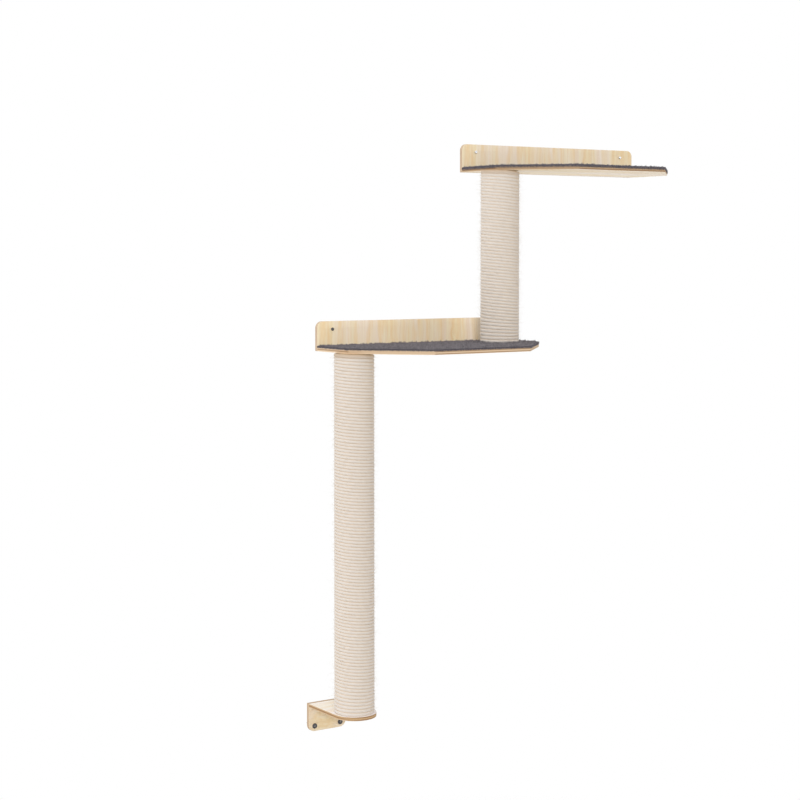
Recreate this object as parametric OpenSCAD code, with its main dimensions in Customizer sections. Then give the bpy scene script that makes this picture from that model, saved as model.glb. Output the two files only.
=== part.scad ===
// Wall-mounted cat scratcher: two rope-wound posts that step up a wall between a
// bracket and two carpeted shelves. X runs along the wall, the wall is the plane
// Y = 0 with the furniture on its -Y side, Z is up. The origin is the centre of
// the bottom bracket's wall face. Millimetres.

/* [Posts] */
// Outer diameter of a post over its rope
post_d = 90; // [80:1:96]
// Length of the lower post, from the bracket to the middle shelf
lower_post_l = 800; // [500:10:1000]
// Length of the upper post, from the middle shelf to the top shelf
upper_post_l = 400; // [250:10:600]
// Distance from the wall to the axis of each post
post_from_wall = 125; // [110:1:150]
// Distance from the middle shelf's right end to the axis of the upper post
upper_post_inset = 103; // [70:1:130]
// Wall thickness of the cardboard tube in each post
tube_wall = 4; // [3:0.5:6]
// Thickness of the wooden plug in each end of a tube
plug_t = 20; // [16:1:26]
// Pins that hold each plug in its tube
plug_pins = 4; // [3:1:6]

/* [Rope] */
// Diameter of the sisal rope
rope_d = 7; // [6:0.1:8]
// Gap left between one turn of rope and the next
rope_gap = 0.5; // [0.45:0.05:0.8]
// Turns formed one by one at each end of a post, the rest are a plain sleeve
rope_turns = 6; // [2:1:6]
// Radius of the bend where the rope goes in through the tube's wall
rope_bend_r = 4.5; // [4.2:0.1:5]

/* [Shelves] */
// Thickness of the plywood
board_t = 9; // [8:0.5:12]
// Length of each shelf and of its backboard
shelf_l = 530; // [500:5:600]
// Depth of each shelf from the wall to its front edge
shelf_depth = 282; // [260:1:320]
// Depth of the straight ends, from the wall to where the corners are cut off
shelf_end_depth = 142; // [120:1:180]
// Length of the straight front edge
shelf_front_l = 262; // [200:2:330]
// How far the left end of a shelf stands left of the post below it
shelf_overlap = 25; // [22:1:60]
// Height of the backboard above the underside of its shelf
backboard_h = 67; // [60:1:90]
// Radius of the backboard's top corners
backboard_corner_r = 15; // [5:1:18]
// Thickness of the short-pile carpet
carpet_t = 4; // [3:0.5:7]

/* [Bracket] */
// Width of the bracket, also the diameter of its round front end
bracket_w = 98; // [98:1:110]
// Height of the bracket's wall plate
bracket_h = 65; // [58:1:80]
// Radius of the wall plate's bottom corners
bracket_corner_r = 15; // [5:1:16]

/* [Wall screws] */
// Outer diameter of the thread of each wall screw
wall_screw_d = 4.5; // [4:0.5:5]
// Length of thread that each wall screw drives into the wall
wall_screw_reach = 22; // [16:1:30]
// Diameter of the pan heads on the shelves
shelf_screw_head_d = 7; // [6.5:0.5:10]
// Diameter of the pan heads on the bracket
bracket_screw_head_d = 12; // [9:0.5:13]
// Distance from each end of a backboard to its wall screw
shelf_screw_inset = 40; // [28:1:60]
// Distance from a backboard's top edge down to its wall screws
shelf_screw_drop = 18; // [17:1:30]
// Distance between the bracket's two wall screws
bracket_screw_spacing = 68; // [50:1:70]
// Distance from the bracket's bottom edge up to its wall screws
bracket_screw_rise = 12; // [11:1:16]

/* [Joint screws and bolts] */
// Diameter of the countersunk screws that join a backboard to its shelf
joint_screw_d = 3.5; // [3:0.5:4]
// Length of the joint screws
joint_screw_l = 30; // [25:1:40]
// Joint screws along each backboard
shelf_joint_screws = 4; // [3:1:6]
// Distance between the bracket's two joint screws
bracket_joint_spacing = 50; // [40:1:60]
// Diameter of the bolts between posts and boards
bolt_d = 8; // [6:1:8]
// Length of the bolts
bolt_l = 40; // [38:1:50]
// Outer diameter of the washers under the bolt heads
washer_d = 24; // [18:1:28]
// Thickness of the washers
washer_t = 2; // [1:0.5:3]

/* [Hidden] */
$fn = 96;

// How far a cut runs past the piece that it cuts
over = 1;

// Clearances: rope on tube, plug in tube, screw or bolt in its hole, nut thread, pin
rope_fit = 0.3;
plug_fit = 0.1;
hole_fit = 0.25;
thread_fit = 0.1;
pin_fit = 0.05;

// Levels, from the bracket up
plate_top = bracket_h / 2;
middle_z = plate_top + lower_post_l;
middle_top = middle_z + board_t + carpet_t;
top_z = middle_top + upper_post_l;

// Places along the wall
post_spacing = shelf_l - shelf_overlap - upper_post_inset;
lower_x = 0;
upper_x = post_spacing;
post_y = -post_from_wall;
middle_x = lower_x - shelf_overlap;
top_x = upper_x - shelf_overlap;

// Tube and plug
tube_r = post_d / 2 - rope_d;
tube_bore_r = tube_r - tube_wall;
plug_r = tube_bore_r - plug_fit;

// Rope: a six-sided tube whose flats face in and out and whose corners face the
// next turn, with 24 rings to a turn. A chord between two rings dips inward by
// rope_sag, so the section is that much thinner than the rope.
rings_a_turn = 24;
rope_spread = 0.15;
rope_pitch = rope_d + rope_spread;
rope_sag = (post_d / 2 - rope_d / 2) * (1 - cos(180 / rings_a_turn));
rope_half_t = (rope_d - rope_fit - rope_sag) / 2;
rope_half_w = (rope_pitch - rope_gap) / 2;
rope_r = post_d / 2 - rope_half_t;
rope_first_z = rope_half_w + rope_fit;
rope_slope = rope_pitch / (360 * rope_r * PI / 180);
bend_start_r = sqrt(rope_r * rope_r - 2 * rope_r * rope_bend_r);
bend_lead = atan(rope_bend_r / bend_start_r);
bend_rings = 6;
tuck_angle = 90;
notch_w = 2 * rope_half_t + 2 * rope_fit;
notch_h = rope_first_z + rope_half_w + rope_fit;
notch_r = bend_start_r - rope_d - rope_fit;

// Steps that carry the sleeve's end up along the last formed turn, and the angle by which
// the cut under each one reaches in above the next
sleeve_steps = 12;
sleeve_lap = 1;
sleeve_r = tube_r + rope_fit;

// Wall screws, each with a neck thinner than its thread inside the board
pan_head_h = 3;
pan_recess_depth = 1.6;
neck_r = wall_screw_d * 0.37;
wall_hole_r = wall_screw_d / 2 + hole_fit;
screw_tip_l = 4;
screw_tip_r = 0.3;

// Joint screws
joint_head_r = joint_screw_d;
joint_recess_depth = 1.2;
joint_pilot_r = joint_screw_d / 2 + thread_fit;

// Bolts and the tee nuts that they turn into
bolt_hole_r = bolt_d / 2 + hole_fit;
bolt_head_h = 0.66 * bolt_d;
bolt_head_r = 0.94 * bolt_d;
sink_h = bolt_d / 2 + hole_fit;
socket_r = 0.36 * bolt_d;
socket_depth = bolt_d / 4;
nut_wall = 1.5;
nut_barrel_r = bolt_d / 2 + nut_wall;
nut_flange_w = 5.5;
nut_flange_r = nut_barrel_r + nut_flange_w;
nut_flange_t = 1.5;
nut_l = 11;

// Pins, their heads sunk just below the tube's face
pin_r = 0.8;
pin_head_r = 1.75;
pin_head_t = 0.8;
pin_sink = 0.1;
pin_grip = 12;
pin_l = tube_wall + pin_grip;

// Colours, as seen
ply_face = [0.87, 0.80, 0.67];
ply_edge = [0.78, 0.67, 0.54];
sisal = [0.84, 0.79, 0.72];
card = [0.72, 0.60, 0.45];
carpet_grey = [0.42, 0.40, 0.42];
zinc = [0.75, 0.76, 0.78];
black_steel = [0.20, 0.20, 0.22];
plug_wood = [0.80, 0.68, 0.50];

// Boards

// Outline of a shelf, from its left end, behind it the front face of its backboard
module shelf_outline() {
  cut = (shelf_l - shelf_front_l) / 2;
  polygon([
    [0, -board_t], [0, -shelf_end_depth], [cut, -shelf_depth],
    [shelf_l - cut, -shelf_depth], [shelf_l, -shelf_end_depth], [shelf_l, -board_t]
  ]);
}

// Upright board of size w by h with two corners rounded, at its top when top is true
module rounded_board(w, h, r, top) {
  mid = top ? h - r : r;
  rotate([90, 0, 0])
    linear_extrude(board_t)
      union() {
        translate([0, top ? 0 : r]) square([w, h - r]);
        translate([r, 0]) square([w - 2 * r, h]);
        translate([r, mid]) circle(r);
        translate([w - r, mid]) circle(r);
      }
}

// Cylinder along +Y from y = 0
module along_wall(r, l) {
  rotate([-90, 0, 0]) cylinder(h = l, r = r);
}

// Hole through a board for a wall screw
module wall_hole() {
  translate([0, -board_t - over, 0]) along_wall(wall_hole_r, board_t + 2 * over);
}

// Places of the joint screws along a shelf, from its left end
function joint_x() = [
  for (i = [0 : shelf_joint_screws - 1]) shelf_l * (i + 0.5) / shelf_joint_screws
];

// Countersunk hole for a joint screw through a board, from its wall face
module joint_hole() {
  translate([0, -board_t - over, 0]) along_wall(joint_screw_d / 2 + hole_fit, board_t + 2 * over);
  rotate([90, 0, 0])
    cylinder(h = joint_head_r + hole_fit, r1 = joint_head_r + hole_fit, r2 = 0);
}

// Pilot hole for a joint screw in the edge of a board
module joint_pilot() {
  translate([0, -joint_screw_l - over, 0]) along_wall(joint_pilot_r, joint_screw_l - board_t + 2 * over);
}

// Shelf board, its bolts at bolt_x, the one at sunk_x countersunk from above
module panel(x, z, bolt_x, sunk_x) {
  translate([x, 0, z])
    difference() {
      linear_extrude(board_t) shelf_outline();
      for (b = bolt_x) translate([b, post_y, -over]) cylinder(h = board_t + 2 * over, r = bolt_hole_r);
      translate([sunk_x, post_y, board_t - sink_h])
        cylinder(h = sink_h + over, r1 = bolt_hole_r, r2 = bolt_hole_r + sink_h + over);
      for (j = joint_x()) translate([j, 0, board_t / 2]) joint_pilot();
    }
}

module backboard(x, z) {
  translate([x, 0, z])
    difference() {
      rounded_board(shelf_l, backboard_h, backboard_corner_r, true);
      for (s = [shelf_screw_inset, shelf_l - shelf_screw_inset])
        translate([s, 0, backboard_h - shelf_screw_drop]) wall_hole();
      for (j = joint_x()) translate([j, 0, board_t / 2]) joint_hole();
    }
}

module carpet(x, z, bolt_x) {
  translate([x, 0, z + board_t])
    difference() {
      linear_extrude(carpet_t) shelf_outline();
      for (b = bolt_x) translate([b, post_y, -over]) cylinder(h = carpet_t + 2 * over, r = bolt_hole_r);
    }
}

// Screws

// Pan-head wall screw: the head on the board's front face, the thread behind the wall plane
module wall_screw(head_d) {
  dome_r = head_d;
  difference() {
    union() {
      translate([0, -board_t, 0])
        rotate([90, 0, 0])
          intersection() {
            cylinder(h = pan_head_h, r = head_d / 2);
            translate([0, 0, pan_head_h - dome_r]) sphere(dome_r);
          }
      translate([0, -board_t, 0]) along_wall(neck_r, board_t);
      along_wall(wall_screw_d / 2, wall_screw_reach);
      translate([0, wall_screw_reach, 0])
        rotate([-90, 0, 0]) cylinder(h = screw_tip_l, r1 = wall_screw_d / 2, r2 = screw_tip_r);
    }
    for (a = [0, 90])
      rotate([0, a, 0])
        translate([-head_d / 4, -board_t - pan_head_h - over, -head_d / 16])
          cube([head_d / 2, pan_recess_depth + over, head_d / 8]);
  }
}

// Countersunk joint screw, head flush with the wall plane, pointing away from the wall
module joint_screw() {
  rotate([90, 0, 0])
    difference() {
      union() {
        cylinder(h = joint_head_r, r1 = joint_head_r, r2 = 0);
        cylinder(h = joint_screw_l - screw_tip_l, r = joint_screw_d / 2);
        translate([0, 0, joint_screw_l - screw_tip_l])
          cylinder(h = screw_tip_l, r1 = joint_screw_d / 2, r2 = screw_tip_r);
      }
      for (a = [0, 90])
        rotate([0, 0, a])
          translate([-joint_head_r / 2, -joint_head_r / 8, -over])
            cube([joint_head_r, joint_head_r / 4, joint_recess_depth + over]);
    }
}

module shelf_wall_screws(x, z) {
  for (s = [shelf_screw_inset, shelf_l - shelf_screw_inset])
    translate([x + s, 0, z + backboard_h - shelf_screw_drop]) wall_screw(shelf_screw_head_d);
}

module shelf_joints(x, z) {
  for (j = joint_x()) translate([x + j, 0, z + board_t / 2]) joint_screw();
}

// Posts

// What is made at a post's bottom end is made at its top end by this half turn
module at_top(l) {
  translate([0, 0, l]) rotate([0, 180, 0]) children();
}

// Notch through which the rope's end goes in, from radius r outwards
module rope_notch(r) {
  rotate([0, 0, tuck_angle])
    translate([r, -notch_w / 2, -over])
      cube([post_d, notch_w, notch_h + over]);
}

// Pin holes or pins round a post's end, each child pointing outwards along +X at the tube's face
module round_pins() {
  for (i = [0 : plug_pins - 1])
    rotate([0, 0, tuck_angle + 360 * (i + 0.5) / plug_pins])
      translate([tube_r, 0, plug_t / 2])
        rotate([0, -90, 0])
          children();
}

module pin_hole() {
  translate([0, 0, -over]) cylinder(h = pin_l + over + pin_fit, r = pin_r + pin_fit);
  translate([0, 0, -over]) cylinder(h = pin_head_t + over + pin_fit, r = pin_head_r + pin_fit);
}

module pin() {
  translate([0, 0, pin_sink]) cylinder(h = pin_l - pin_sink, r = pin_r);
  translate([0, 0, pin_sink]) cylinder(h = pin_head_t - pin_sink, r = pin_head_r);
}

module tube(l) {
  difference() {
    cylinder(h = l, r = tube_r);
    translate([0, 0, -over]) cylinder(h = l + 2 * over, r = tube_bore_r);
    rope_notch(tube_bore_r - over);
    at_top(l) rope_notch(tube_bore_r - over);
    round_pins() pin_hole();
    at_top(l) round_pins() pin_hole();
  }
}

module plug() {
  difference() {
    cylinder(h = plug_t, r = plug_r);
    translate([0, 0, -over]) cylinder(h = plug_t + 2 * over, r = nut_barrel_r + thread_fit);
    rope_notch(notch_r);
    round_pins() pin_hole();
  }
}

// Tee nut, its barrel in the plug and its flange on the plug's inner face
module tee_nut() {
  difference() {
    union() {
      translate([0, 0, plug_t - nut_l]) cylinder(h = nut_l, r = nut_barrel_r);
      translate([0, 0, plug_t]) cylinder(h = nut_flange_t, r = nut_flange_r);
    }
    translate([0, 0, plug_t - nut_l - over])
      cylinder(h = nut_l + nut_flange_t + 2 * over, r = bolt_d / 2 + thread_fit);
  }
}

// Hexagon bolt pointing up, its head's top face at z = 0
module hex_bolt() {
  translate([0, 0, -bolt_head_h]) cylinder(h = bolt_head_h, r = bolt_head_r, $fn = 6);
  cylinder(h = bolt_l, r = bolt_d / 2);
}

// Countersunk bolt pointing down, its head's top face at z = 0
module sunk_bolt() {
  difference() {
    union() {
      translate([0, 0, -bolt_d / 2]) cylinder(h = bolt_d / 2, r1 = bolt_d / 2, r2 = bolt_d);
      translate([0, 0, -bolt_l]) cylinder(h = bolt_l, r = bolt_d / 2);
    }
    translate([0, 0, -socket_depth]) cylinder(h = socket_depth + over, r = socket_r, $fn = 6);
  }
}

module washer() {
  difference() {
    cylinder(h = washer_t, r = washer_d / 2);
    translate([0, 0, -over]) cylinder(h = washer_t + 2 * over, r = bolt_hole_r);
  }
}

// Rope

// The rope's centre line is a list of [x, y, z, heading], where heading is the
// direction of travel in plan. It comes out through the tube's wall, bends
// round, winds up with falling angle and ends in a straight run.
bend_turn = 90 + bend_lead;
bend_l = rope_bend_r * bend_turn * PI / 180;
helix_start = tuck_angle - bend_lead;
helix_turns = rope_turns - bend_lead / 360;
helix_rings = ceil(helix_turns * rings_a_turn);
helix_end = helix_start - 360 * helix_turns;
helix_l = helix_turns * 360 * rope_r * PI / 180;

// Height of the rope at a distance s along it from where the helix starts
function rope_z(s) = rope_first_z + rope_slope * (s + bend_l + rope_d);

function tuck_rings() = [
  for (i = [0, 1])
    let (s = -bend_l - rope_d * (1 - i), r = bend_start_r - rope_d * (1 - i))
      [r * cos(tuck_angle), r * sin(tuck_angle), rope_z(s), tuck_angle]
];

function bend_ring_list() = [
  for (i = [1 : bend_rings - 1])
    let (
      t = bend_turn * i / bend_rings,
      heading = tuck_angle - t,
      cx = bend_start_r * cos(tuck_angle) + rope_bend_r * sin(tuck_angle),
      cy = bend_start_r * sin(tuck_angle) - rope_bend_r * cos(tuck_angle)
    )
      [
        cx - rope_bend_r * sin(heading), cy + rope_bend_r * cos(heading),
        rope_z(-bend_l * (1 - i / bend_rings)), heading
      ]
];

function helix_ring_list() = [
  for (i = [0 : helix_rings])
    let (turn = helix_turns * i / helix_rings, a = helix_start - 360 * turn)
      [rope_r * cos(a), rope_r * sin(a), rope_z(turn * 360 * rope_r * PI / 180), a - 90]
];

function end_ring_list() = [
  [
    rope_r * cos(helix_end) + rope_d * sin(helix_end),
    rope_r * sin(helix_end) - rope_d * cos(helix_end),
    rope_z(helix_l + rope_d), helix_end - 90
  ]
];

function rope_line() = concat(tuck_rings(), bend_ring_list(), helix_ring_list(), end_ring_list());

// Six corners round one ring: flats at plus and minus rope_half_t, corners at plus and minus rope_half_w
function ring_points(c) = [
  for (k = [0 : 5])
    let (
      out = rope_half_t * sin(60 * k) / sin(60),
      up = rope_half_w * cos(60 * k),
      n = c[3] + 90
    )
      [c[0] + out * cos(n), c[1] + out * sin(n), c[2] + up]
];

// Least distance between a corner of one turn and a corner of the turn above it
function least_gap(line) =
  let (rings = [for (c = line) ring_points(c)], last = len(line) - 1)
    min([
      for (i = [0 : last])
        for (j = [i + rings_a_turn / 2 : 1 : last])
          if (norm([for (k = [0 : 2]) line[i][k] - line[j][k]]) < 2 * rope_d)
            for (p = rings[i])
              for (q = rings[j])
                norm(p - q)
    ]);

module rope_turns_solid() {
  line = rope_line();
  n = len(line);
  sides = [
    for (i = [0 : n - 2])
      for (k = [0 : 5])
        let (a = 6 * i + k, b = 6 * i + (k + 1) % 6)
          each [[a, b, a + 6], [b, b + 6, a + 6]]
  ];
  first_cap = [for (k = [1 : 4]) [0, k + 1, k]];
  last_cap = [for (k = [1 : 4]) [6 * (n - 1), 6 * (n - 1) + k, 6 * (n - 1) + k + 1]];
  polyhedron(points = [for (c = line) each ring_points(c)], faces = concat(sides, first_cap, last_cap));
}

// What is cut from a post's sleeve below its first turns. It climbs in steps over the last formed
// turn, and has a square face in front of the rope's end.
module sleeve_end_cut() {
  step = 360 / sleeve_steps;
  first = atan((rope_d - over) / rope_r);
  for (i = [0 : sleeve_steps - 1])
    rotate([0, 0, helix_end - first - step * (i + 1) - sleeve_lap])
      rotate_extrude(angle = step + sleeve_lap)
        let (behind = helix_l - (360 - first - step * (i + 1)) * rope_r * PI / 180)
          translate([sleeve_r - over, -over])
            square([post_d / 2 - sleeve_r + 2 * over, rope_z(behind) + rope_half_w + rope_fit + over]);
  rotate([0, 0, helix_end - 90])
    translate([-rope_d, tube_r - rope_d, rope_first_z])
      cube([2 * rope_d + rope_fit, 3 * rope_d, rope_z(helix_l + rope_d) + rope_half_w + rope_fit - rope_first_z]);
}

module sleeve(l) {
  difference() {
    cylinder(h = l, r = post_d / 2);
    translate([0, 0, -over]) cylinder(h = l + 2 * over, r = sleeve_r);
    sleeve_end_cut();
    at_top(l) sleeve_end_cut();
  }
}

module rope(l) {
  rope_turns_solid();
  at_top(l) rope_turns_solid();
  sleeve(l);
}

module at_lower_post() {
  translate([lower_x, post_y, plate_top]) children();
}

module at_upper_post() {
  translate([upper_x, post_y, middle_top]) children();
}

// Bracket

module bracket_back_plate() {
  color(ply_face)
    translate([-bracket_w / 2, 0, -bracket_h / 2])
      difference() {
        rounded_board(bracket_w, bracket_h, bracket_corner_r, false);
        for (s = [-1, 1]) {
          translate([bracket_w / 2 + s * bracket_screw_spacing / 2, 0, bracket_screw_rise]) wall_hole();
          translate([bracket_w / 2 + s * bracket_joint_spacing / 2, 0, bracket_h - board_t / 2]) joint_hole();
        }
      }
}

module bracket_post_plate() {
  color(ply_edge)
    translate([0, 0, plate_top - board_t])
      difference() {
        linear_extrude(board_t)
          union() {
            translate([-bracket_w / 2, post_y]) square([bracket_w, post_from_wall - board_t]);
            translate([0, post_y]) circle(bracket_w / 2);
          }
        translate([0, post_y, -over]) cylinder(h = board_t + 2 * over, r = bolt_hole_r);
        for (s = [-1, 1])
          translate([s * bracket_joint_spacing / 2, 0, board_t / 2]) joint_pilot();
      }
}

module bracket_joint_screws() {
  color(zinc)
    for (s = [-1, 1])
      translate([s * bracket_joint_spacing / 2, 0, plate_top - board_t / 2]) joint_screw();
}

module bracket_wall_screws() {
  color(black_steel)
    for (s = [-1, 1])
      translate([s * bracket_screw_spacing / 2, 0, bracket_screw_rise - bracket_h / 2])
        wall_screw(bracket_screw_head_d);
}

// Lower post

module lower_post_bottom_bolt() {
  color(zinc) translate([lower_x, post_y, plate_top - board_t - washer_t]) hex_bolt();
}

module lower_post_bottom_washer() {
  color(zinc) translate([lower_x, post_y, plate_top - board_t - washer_t]) washer();
}

module lower_post_tube() {
  color(card) at_lower_post() tube(lower_post_l);
}

module lower_post_bottom_plug() {
  color(plug_wood) at_lower_post() plug();
}

module lower_post_top_plug() {
  color(plug_wood) at_lower_post() at_top(lower_post_l) plug();
}

module lower_post_plug_pins() {
  color(zinc)
    at_lower_post() {
      round_pins() pin();
      at_top(lower_post_l) round_pins() pin();
    }
}

module lower_post_tee_nuts() {
  color(zinc)
    at_lower_post() {
      tee_nut();
      at_top(lower_post_l) tee_nut();
    }
}

module lower_post_rope() {
  color(sisal) at_lower_post() rope(lower_post_l);
}

module lower_post_top_bolt() {
  color(zinc) translate([lower_x, post_y, middle_z + board_t]) sunk_bolt();
}

// Middle shelf

module middle_shelf_panel() {
  color(ply_face)
    panel(middle_x, middle_z, [shelf_overlap, shelf_overlap + post_spacing], shelf_overlap);
}

module middle_shelf_backboard() {
  color(ply_face) backboard(middle_x, middle_z);
}

module middle_shelf_carpet() {
  color(carpet_grey) carpet(middle_x, middle_z, [shelf_overlap + post_spacing]);
}

module middle_shelf_joint_screws() {
  color(zinc) shelf_joints(middle_x, middle_z);
}

module middle_shelf_wall_screws() {
  color(black_steel) shelf_wall_screws(middle_x, middle_z);
}

// Upper post

module upper_post_bottom_bolt() {
  color(zinc) translate([upper_x, post_y, middle_z - washer_t]) hex_bolt();
}

module upper_post_bottom_washer() {
  color(zinc) translate([upper_x, post_y, middle_z - washer_t]) washer();
}

module upper_post_tube() {
  color(card) at_upper_post() tube(upper_post_l);
}

module upper_post_bottom_plug() {
  color(plug_wood) at_upper_post() plug();
}

module upper_post_top_plug() {
  color(plug_wood) at_upper_post() at_top(upper_post_l) plug();
}

module upper_post_plug_pins() {
  color(zinc)
    at_upper_post() {
      round_pins() pin();
      at_top(upper_post_l) round_pins() pin();
    }
}

module upper_post_tee_nuts() {
  color(zinc)
    at_upper_post() {
      tee_nut();
      at_top(upper_post_l) tee_nut();
    }
}

module upper_post_rope() {
  color(sisal) at_upper_post() rope(upper_post_l);
}

module upper_post_top_bolt() {
  color(zinc) translate([upper_x, post_y, top_z + board_t]) sunk_bolt();
}

// Top shelf

module top_shelf_panel() {
  color(ply_face) panel(top_x, top_z, [shelf_overlap], shelf_overlap);
}

module top_shelf_backboard() {
  color(ply_face) backboard(top_x, top_z);
}

module top_shelf_carpet() {
  color(carpet_grey) carpet(top_x, top_z, []);
}

module top_shelf_joint_screws() {
  color(zinc) shelf_joints(top_x, top_z);
}

module top_shelf_wall_screws() {
  color(zinc) shelf_wall_screws(top_x, top_z);
}

echo("least gap between turns of rope, mm", least_gap(rope_line()));

bracket_back_plate();
bracket_post_plate();
bracket_joint_screws();
bracket_wall_screws();
lower_post_bottom_bolt();
lower_post_bottom_washer();
lower_post_tube();
lower_post_bottom_plug();
lower_post_top_plug();
lower_post_plug_pins();
lower_post_tee_nuts();
lower_post_rope();
lower_post_top_bolt();
middle_shelf_panel();
middle_shelf_backboard();
middle_shelf_carpet();
middle_shelf_joint_screws();
middle_shelf_wall_screws();
upper_post_bottom_bolt();
upper_post_bottom_washer();
upper_post_tube();
upper_post_bottom_plug();
upper_post_top_plug();
upper_post_plug_pins();
upper_post_tee_nuts();
upper_post_rope();
upper_post_top_bolt();
top_shelf_panel();
top_shelf_backboard();
top_shelf_carpet();
top_shelf_joint_screws();
top_shelf_wall_screws();
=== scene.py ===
import math

import bmesh
import bpy
import numpy as np
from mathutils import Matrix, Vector
from mathutils.geometry import tessellate_polygon


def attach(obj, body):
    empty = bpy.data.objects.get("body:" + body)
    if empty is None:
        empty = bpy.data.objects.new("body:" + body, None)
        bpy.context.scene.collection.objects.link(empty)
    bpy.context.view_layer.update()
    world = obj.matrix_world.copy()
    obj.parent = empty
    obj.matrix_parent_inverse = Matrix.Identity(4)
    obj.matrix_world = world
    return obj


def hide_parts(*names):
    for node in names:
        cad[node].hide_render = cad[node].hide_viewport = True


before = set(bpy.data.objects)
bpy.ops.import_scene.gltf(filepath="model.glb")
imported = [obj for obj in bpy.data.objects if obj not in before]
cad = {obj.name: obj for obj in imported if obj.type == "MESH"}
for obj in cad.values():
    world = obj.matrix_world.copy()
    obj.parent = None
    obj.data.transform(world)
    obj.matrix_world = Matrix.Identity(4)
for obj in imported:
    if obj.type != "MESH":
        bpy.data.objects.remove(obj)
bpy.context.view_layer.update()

# Studio
# The camera stands where the photograph was taken. A white room gives soft light, most of it from
# the wall's side and from above. Of two square lamps in front, the left one is much the stronger.
camera_place = (-2.08597, -3.42658, 1.05234)
camera_tilt = math.radians(90 - 2.404)
camera_turn = math.radians(-33.774)
camera = bpy.data.objects.new("camera", bpy.data.cameras.new("camera"))
camera.location = camera_place
camera.rotation_euler = (camera_tilt, 0, camera_turn)
camera.data.sensor_width = 36
camera.data.lens = 79.598
camera.data.shift_y = -0.09
camera.data.clip_start = 0.05
camera.data.clip_end = 60
scene = bpy.context.scene
scene.collection.objects.link(camera)
scene.camera = camera
scene.view_settings.view_transform = "Standard"


def shade(tree, kind, settings=(), inputs=(), output=0):
    """Adds a shader node, sets it up and gives back one of its outputs."""
    node = tree.nodes.new("ShaderNode" + kind)
    for name, value in dict(settings).items():
        setattr(node, name, value)
    for socket, value in dict(inputs).items():
        if isinstance(value, bpy.types.NodeSocket):
            tree.links.new(value, node.inputs[socket])
        else:
            node.inputs[socket].default_value = value
    return node.outputs[output]


def calc(tree, operation, a, b=0.0, c=0.0):
    """One sum on numbers or sockets."""
    inputs = {0: a, 1: b}
    if operation == "MULTIPLY_ADD":
        inputs[2] = c
    return shade(tree, "Math", {"operation": operation}, inputs)


def spread(tree, value, low, high, to_low=0.0, to_high=1.0):
    """Takes a value from one range to another and stops it at the ends."""
    inputs = {"Value": value, "From Min": low, "From Max": high, "To Min": to_low, "To Max": to_high}
    return shade(tree, "MapRange", {"clamp": True}, inputs)


def mixed(tree, factor, a, b, how="MIX"):
    """One colour over another."""
    settings = {"data_type": "RGBA", "blend_type": how, "clamp_factor": True}
    return shade(tree, "Mix", settings, {0: factor, 6: a, 7: b}, 2)


def seen_as_drawn(tree):
    """1 for the rays that show the background: the camera's, and those that metal or glass sends on."""
    seen = shade(tree, "LightPath", (), (), "Is Camera Ray")
    for ray in ("Is Glossy Ray", "Is Transmission Ray"):
        seen = calc(tree, "MAXIMUM", seen, shade(tree, "LightPath", (), (), ray))
    return seen


room_light_dim = (0.32, 0.308, 0.288, 1)
room_light_full = (1.23, 1.23, 1.23, 1)
bright_side = (-0.565, 0.725, 0.395)
world = bpy.data.worlds.new("white_room")
scene.world = world
world.use_nodes = True
tree = world.node_tree
tree.nodes.clear()
towards = shade(tree, "TexCoord", (), (), "Generated")
facing = shade(tree, "VectorMath", {"operation": "DOT_PRODUCT"}, {0: towards, 1: bright_side}, "Value")
soft_light = mixed(tree, spread(tree, facing, -1, 1), room_light_dim, room_light_full)
room = shade(tree, "Background", (), {"Color": mixed(tree, seen_as_drawn(tree), soft_light, (1, 1, 1, 1))})
tree.links.new(room, tree.nodes.new("ShaderNodeOutputWorld").inputs["Surface"])

lamp_target = Vector((0.35, -0.15, 0.65))
lamp_size = 0.8
for side, lamp_place, energy, color in (
    ("left", (-2.277, -4.70, 1.34), 101.0, (1.0, 0.99, 0.975)),
    ("right", (2.27, -1.83, 1.35), 9.5, (1.0, 0.97, 0.92)),
):
    lamp = bpy.data.objects.new(side + "_lamp", bpy.data.lights.new(side + "_lamp", "AREA"))
    lamp.data.shape = "SQUARE"
    lamp.data.size = lamp_size
    lamp.data.energy = energy
    lamp.data.color = color
    lamp.location = lamp_place
    lamp.rotation_euler = (lamp_target - lamp.location).to_track_quat("-Z", "Y").to_euler()
    lamp.visible_camera = False
    scene.collection.objects.link(lamp)

# Bracket plates
# Two pieces of 9 mm plywood, cream veneer outside and tan layers at the edge. The back plate goes
# flat on the wall, and the post plate stands out from it with a half-round end.
board_t = 0.009
edge_round = 0.0006
edge_rings = 4
edge_margin = 0.03
crease_angle = math.radians(35)
corner_steps = 12
hole_steps = 24


def rounded_outline(corners):
    """A convex outline, anticlockwise, from (a, b, radius) for each corner."""
    points = []
    for i, (a, b, radius) in enumerate(corners):
        here = Vector((a, b))
        back = (Vector(corners[i - 1][:2]) - here).normalized()
        on = (Vector(corners[(i + 1) % len(corners)][:2]) - here).normalized()
        half = back.angle(on) / 2
        middle = here + (back + on).normalized() * radius / math.sin(half)
        first = here + back * radius / math.tan(half) - middle
        sweep = math.pi - 2 * half
        steps = max(3, round(corner_steps * sweep / (math.pi / 2)))
        for k in range(steps + 1):
            turn = sweep * k / steps
            points.append((
                middle.x + first.x * math.cos(turn) - first.y * math.sin(turn),
                middle.y + first.x * math.sin(turn) + first.y * math.cos(turn),
            ))
    return points


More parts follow.
